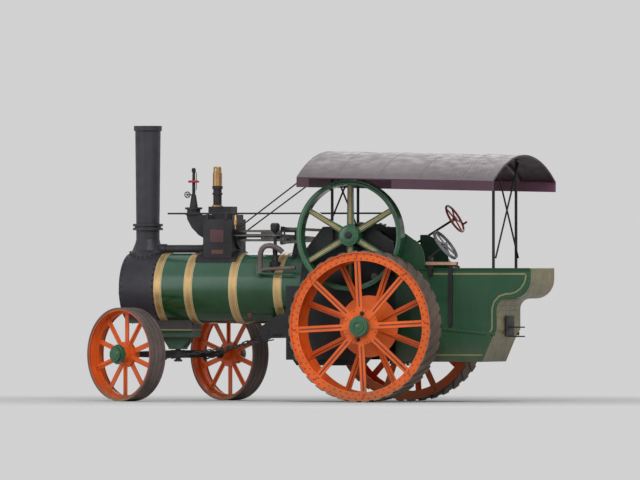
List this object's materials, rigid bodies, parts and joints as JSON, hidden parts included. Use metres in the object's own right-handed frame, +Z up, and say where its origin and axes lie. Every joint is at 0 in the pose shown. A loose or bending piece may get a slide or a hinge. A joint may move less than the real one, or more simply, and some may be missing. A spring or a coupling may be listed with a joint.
{
  "type": "steam traction engine",
  "caption": "Steam traction engine with lagged boiler, tall chimney, top-mounted cylinder, side flywheel, spoked rubber-shod wheels, tender and full-length canopy.",
  "frame": {"origin": "on the ground, under the middle of the engine's length and width", "axes": "+X forward, +Y to the left, +Z up"},
  "size_m": [5.8077, 2.4, 3.45],
  "materials": {
    "boiler_green": "gloss paint over steel lagging",
    "band_brass": "polished",
    "frame_black": "satin black paint, oily",
    "smokebox_black": "matt black heat paint",
    "casting_black": "blackened casting",
    "wheel_orange": "gloss orange paint",
    "tyre_rubber": "dusty rubber",
    "hub_green": "gloss green paint",
    "bright_steel": "machined and oiled",
    "gear_steel": "greased castings",
    "tender_green": "gloss paint",
    "plate_steel": "worn chequered plate",
    "roof_board": "painted boards",
    "hand_red": "gloss red paint",
    "hand_grey": "grey steel",
    "valve_brass": "brass and copper",
    "pipe_copper": "tarnished copper"
  },
  "bodies": {
    "frame": {"boiler": "boiler_green", "boiler_bands": "band_brass", "hornplates": "frame_black", "ashpan": "frame_black", "fire_hinge": "frame_black", "smokebox": "smokebox_black", "chimney": "smokebox_black", "perch_bracket": "frame_black", "cylinder_block": "casting_black", "exhaust_pipe": "casting_black", "safety_valve": "valve_brass", "lubricator": "casting_black", "motion_bracket": "casting_black", "slide_bars": "bright_steel", "crosshead": "bright_steel", "valve_link": "bright_steel", "gear_guard": "hub_green", "tender": "tender_green", "footplate": "plate_steel", "hitch": "frame_black", "canopy_roof": "roof_board", "canopy_posts": "frame_black", "canopy_stays": "frame_black", "chain_barrel": "casting_black", "steering_chains": "casting_black", "steering_column": "frame_black", "steering_bracket": "frame_black", "brake_column": "frame_black", "feed_pipe": "pipe_copper", "chimney_base": "smokebox_black", "governor": "hand_grey", "regulator_rod": "casting_black", "side_sheets": "tender_green", "steering_wheel": "hand_red", "brake_wheel": "hand_grey"},
    "front_axle": {"front_axle": "frame_black"},
    "front_wheel_left": {"front_wheel_left": "wheel_orange", "front_tyre_left": "tyre_rubber", "front_hub_left": "hub_green"},
    "rear_wheel_left": {"rear_wheel_left": "wheel_orange", "rear_tyre_left": "tyre_rubber", "rear_hub_left": "hub_green"},
    "front_wheel_right": {"front_wheel_right": "wheel_orange", "front_tyre_right": "tyre_rubber", "front_hub_right": "hub_green"},
    "rear_wheel_right": {"rear_wheel_right": "wheel_orange", "rear_tyre_right": "tyre_rubber", "rear_hub_right": "hub_green"},
    "final_drive": {"rear_axle": "bright_steel", "final_gear": "gear_steel"},
    "second_shaft": {"second_shaft": "gear_steel"},
    "crank": {"crankshaft": "bright_steel", "crank_pinion": "gear_steel", "flywheel": "hub_green"},
    "connecting_rod": {"connecting_rod": "bright_steel"},
    "eccentric_rod_forward": {"eccentric_rod_forward": "bright_steel"},
    "eccentric_rod_reverse": {"eccentric_rod_reverse": "bright_steel"},
    "smokebox_door": {"smokebox_door": "smokebox_black"},
    "firehole_door": {"firehole_door": "casting_black"}
  },
  "joints": [
    {"name": "steering", "type": "hinge", "parent": "frame", "child": "front_axle", "pos_m": [1.933, 0, 0.585], "axis": [0, 0, 1], "range_deg": [-6, 58], "deforming": ["steering_chains"]},
    {"name": "front_wheel_left_spin", "type": "hinge", "parent": "front_axle", "child": "front_wheel_left", "pos_m": [1.933, 0, 0.585], "axis": [0.4384, 0.8988, 0], "continuous": true},
    {"name": "front_wheel_right_spin", "type": "hinge", "parent": "front_axle", "child": "front_wheel_right", "pos_m": [1.933, 0, 0.585], "axis": [0.4384, 0.8988, 0], "continuous": true},
    {"name": "rear_wheel_left_spin", "type": "hinge", "parent": "frame", "child": "rear_wheel_left", "pos_m": [-0.867, 0, 0.94], "axis": [0, 1, 0], "continuous": true},
    {"name": "rear_wheel_right_spin", "type": "hinge", "parent": "frame", "child": "rear_wheel_right", "pos_m": [-0.867, 0, 0.94], "axis": [0, 1, 0], "continuous": true},
    {"name": "final_drive_spin", "type": "hinge", "parent": "frame", "child": "final_drive", "pos_m": [-0.867, 0, 0.94], "axis": [0, 1, 0], "continuous": true},
    {"name": "second_shaft_spin", "type": "hinge", "parent": "frame", "child": "second_shaft", "pos_m": [-0.84594, 0, 1.56064], "axis": [0, 1, 0], "continuous": true},
    {"name": "crank_spin", "type": "hinge", "parent": "frame", "child": "crank", "pos_m": [-0.577, 0, 2.07], "axis": [0, 1, 0], "continuous": true},
    {"name": "connecting_rod_swing", "type": "hinge", "parent": "crank", "child": "connecting_rod", "pos_m": [-0.47741, 0, 1.98644], "axis": [0, 1, 0], "continuous": true},
    {"name": "eccentric_forward_swing", "type": "hinge", "parent": "crank", "child": "eccentric_rod_forward", "pos_m": [-0.56764, 0, 2.11402], "axis": [0, 1, 0], "continuous": true},
    {"name": "eccentric_reverse_swing", "type": "hinge", "parent": "crank", "child": "eccentric_rod_reverse", "pos_m": [-0.61872, 0, 2.05314], "axis": [0, 1, 0], "continuous": true},
    {"name": "smokebox_door_hinge", "type": "hinge", "parent": "frame", "child": "smokebox_door", "pos_m": [2.593, -0.369, 1.41], "axis": [0, 0, -1], "range_deg": [0, 110]},
    {"name": "firehole_door_hinge", "type": "hinge", "parent": "frame", "child": "firehole_door", "pos_m": [-0.591, -0.17, 1.33], "axis": [0, 0, 1], "range_deg": [0, 100]}
  ],
  "couplings": [
    {"joint": "second_shaft_spin", "follows": "final_drive_spin", "ratio": -3.6},
    {"joint": "connecting_rod_swing", "follows": "crank_spin", "ratio": -1},
    {"joint": "eccentric_forward_swing", "follows": "crank_spin", "ratio": -1},
    {"joint": "eccentric_reverse_swing", "follows": "crank_spin", "ratio": -1}
  ]
}
